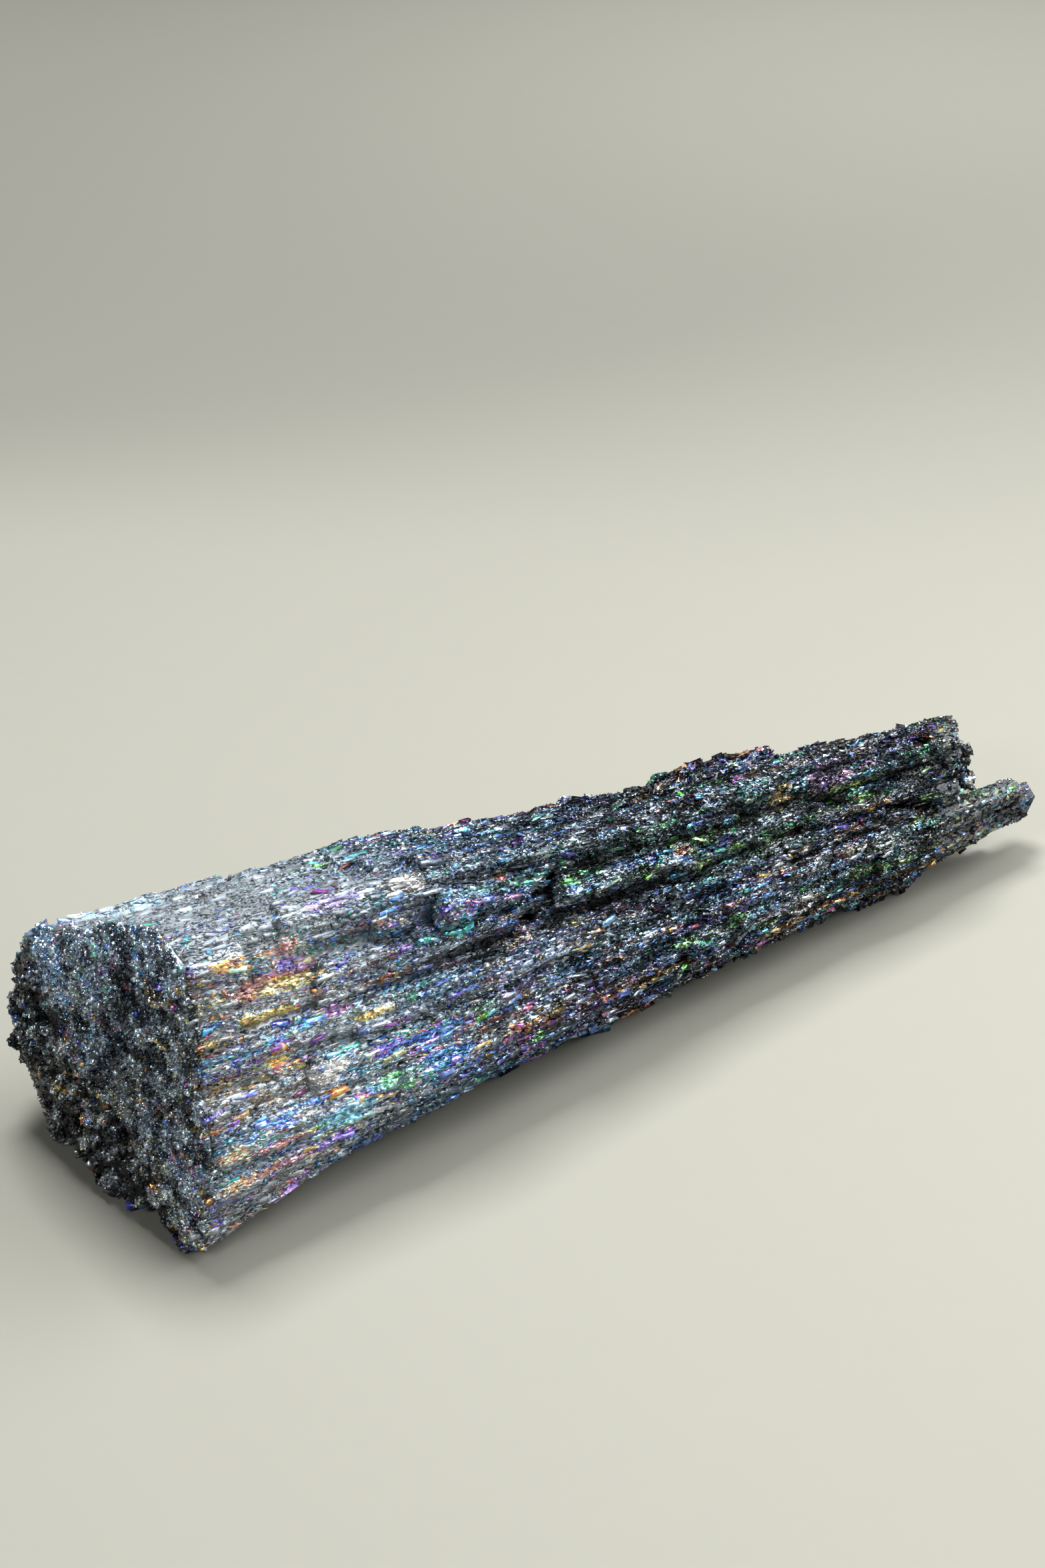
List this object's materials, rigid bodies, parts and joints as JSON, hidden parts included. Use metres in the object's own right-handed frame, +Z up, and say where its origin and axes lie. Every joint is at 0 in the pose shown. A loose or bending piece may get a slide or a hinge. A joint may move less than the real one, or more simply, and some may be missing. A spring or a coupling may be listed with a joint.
{
  "type": "silicon carbide crystal",
  "caption": "Long tapering wedge of columnar silicon carbide crystals grown together, with a broad flat end, a splintered narrow end and an iridescent granular surface.",
  "frame": {"origin": "middle of the box's footprint, on the surface that the piece rests on", "axes": "+X runs along the piece from the broad end to the narrow splintered end, +Y points to its back, +Z is up"},
  "size_m": [0.1752, 0.0526, 0.0513],
  "materials": {
    "carbide": "sparkling granular crystal faces with a thin iridescent film, blue, violet, green and gold over dark grey"
  },
  "bodies": {
    "root": {"crystal": "carbide"}
  },
  "joints": []
}
